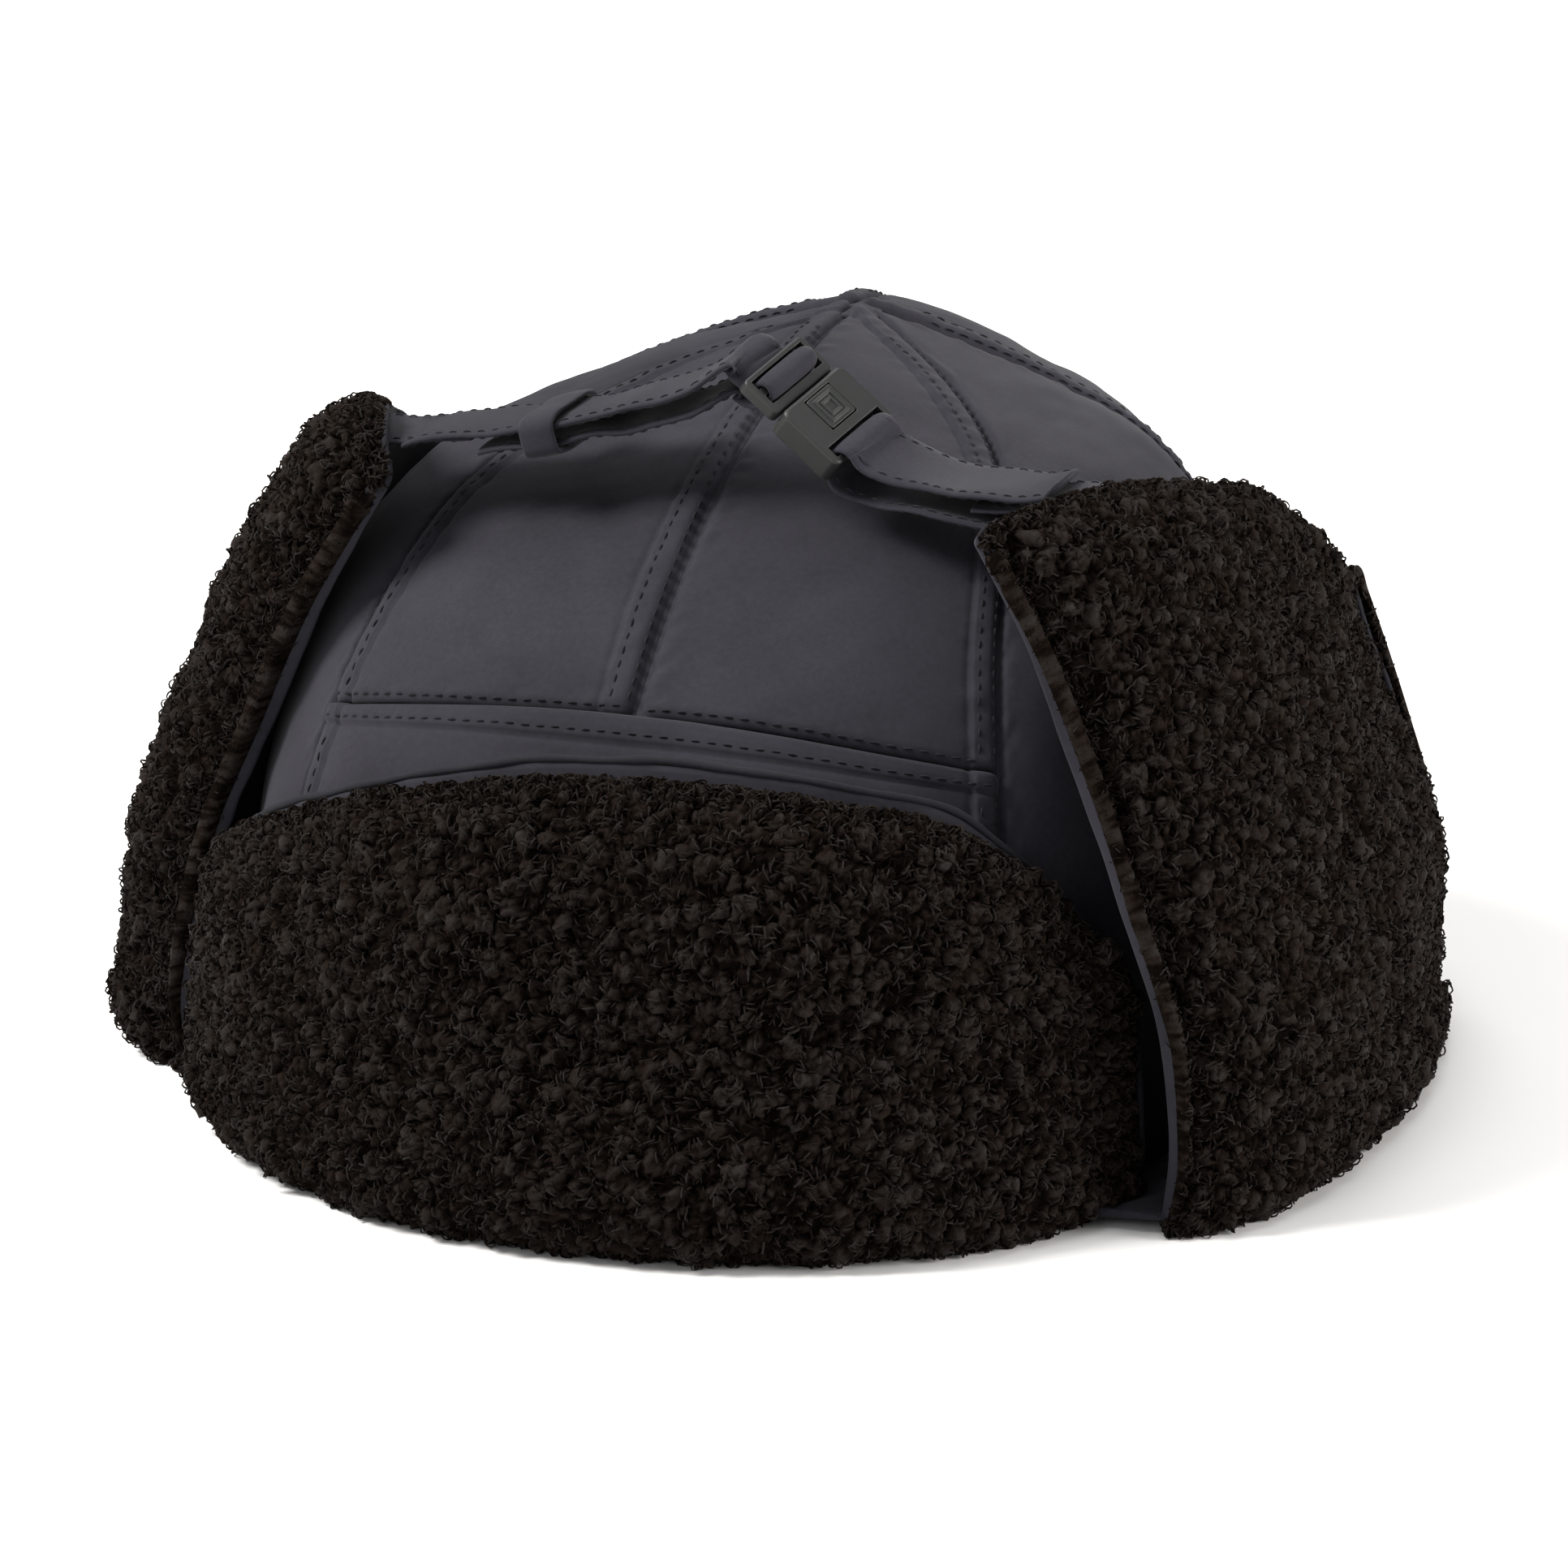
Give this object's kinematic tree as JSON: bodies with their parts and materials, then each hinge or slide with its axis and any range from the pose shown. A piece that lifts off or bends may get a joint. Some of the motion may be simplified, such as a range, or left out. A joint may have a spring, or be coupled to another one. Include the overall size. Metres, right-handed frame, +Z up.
{
  "type": "trapper hat",
  "caption": "Soft trapper hat with a panelled crown, fleece-faced visor, ear and neck flaps turned up, and a buckled strap joining the ear flaps over the top.",
  "frame": {"origin": "centre of the base on the table, under the crown", "axes": "+Z up, -Y is the front (visor), +X is the wearer's left"},
  "size_m": [0.2612, 0.2597, 0.1498],
  "materials": {
    "shell_fabric": "charcoal navy woven shell",
    "fleece": "dark brown curly pile fleece",
    "sweatband": "dark woven band",
    "buckle_plastic": "moulded matt black-green plastic"
  },
  "bodies": {
    "crown": {"front_band": "shell_fabric", "front_panel_left": "shell_fabric", "front_panel_right": "shell_fabric", "side_panel_left": "shell_fabric", "side_panel_right": "shell_fabric", "rear_panel_left": "shell_fabric", "rear_panel_right": "shell_fabric", "seam_front_centre": "shell_fabric", "seam_rear_centre": "shell_fabric", "seam_front_left": "shell_fabric", "seam_front_right": "shell_fabric", "seam_rear_left": "shell_fabric", "seam_rear_right": "shell_fabric", "seam_front_band": "shell_fabric", "crown_lining_left": "fleece", "crown_lining_right": "fleece", "sweatband_left": "sweatband", "sweatband_right": "sweatband", "rim_binding": "shell_fabric"},
    "visor_flap": {"visor_fleece": "fleece", "visor_shell": "shell_fabric"},
    "ear_flap_left": {"ear_flap_left_fleece": "fleece", "ear_flap_left_shell": "shell_fabric"},
    "ear_flap_right": {"ear_flap_right_fleece": "fleece", "ear_flap_right_shell": "shell_fabric"},
    "neck_flap": {"neck_flap_fleece": "fleece", "neck_flap_shell": "shell_fabric"},
    "strap_left": {"strap_left_band": "shell_fabric", "buckle_housing": "buckle_plastic"},
    "strap_right": {"strap_right_band": "shell_fabric", "strap_keeper": "shell_fabric"},
    "buckle_male": {"buckle_ladder": "buckle_plastic"},
    "push_tab": {"buckle_push_tab": "buckle_plastic"}
  },
  "joints": [
    {"name": "visor_fold", "type": "hinge", "parent": "crown", "child": "visor_flap", "pos_m": [0, -0.114, 0], "axis": [1, 0, 0], "range_deg": [0, 120]},
    {"name": "ear_fold_left", "type": "hinge", "parent": "crown", "child": "ear_flap_left", "pos_m": [0.098, 0, 0], "axis": [0, 1, 0], "range_deg": [0, 175]},
    {"name": "ear_fold_right", "type": "hinge", "parent": "crown", "child": "ear_flap_right", "pos_m": [-0.098, 0, 0], "axis": [0, -1, 0], "range_deg": [0, 175]},
    {"name": "neck_fold", "type": "hinge", "parent": "crown", "child": "neck_flap", "pos_m": [0, 0.114, 0], "axis": [-1, 0, 0], "range_deg": [0, 160]},
    {"name": "strap_swing_left", "type": "hinge", "parent": "ear_flap_left", "child": "strap_left", "pos_m": [0.0695, -0.033, 0.1255], "axis": [0, 1, 0], "range_deg": [0, 64]},
    {"name": "strap_swing_right", "type": "hinge", "parent": "ear_flap_right", "child": "strap_right", "pos_m": [-0.0605, -0.033, 0.1263], "axis": [0, -1, 0], "range_deg": [0, 64]},
    {"name": "buckle_release", "type": "slide", "parent": "strap_right", "child": "buckle_male", "axis": [-0.7773, 0.0269, 0.6286], "range_m": [0, 0.01], "deforming": ["strap_right_band"]},
    {"name": "tab_press", "type": "hinge", "parent": "strap_left", "child": "push_tab", "pos_m": [0.02567, -0.03373, 0.13634], "axis": [-0.2422, -0.9349, -0.2594], "range_deg": [0, 3]}
  ],
  "couplings": [
    {"joint": "strap_swing_left", "follows": "ear_fold_left", "ratio": 0.36},
    {"joint": "strap_swing_right", "follows": "ear_fold_right", "ratio": 0.36}
  ]
}
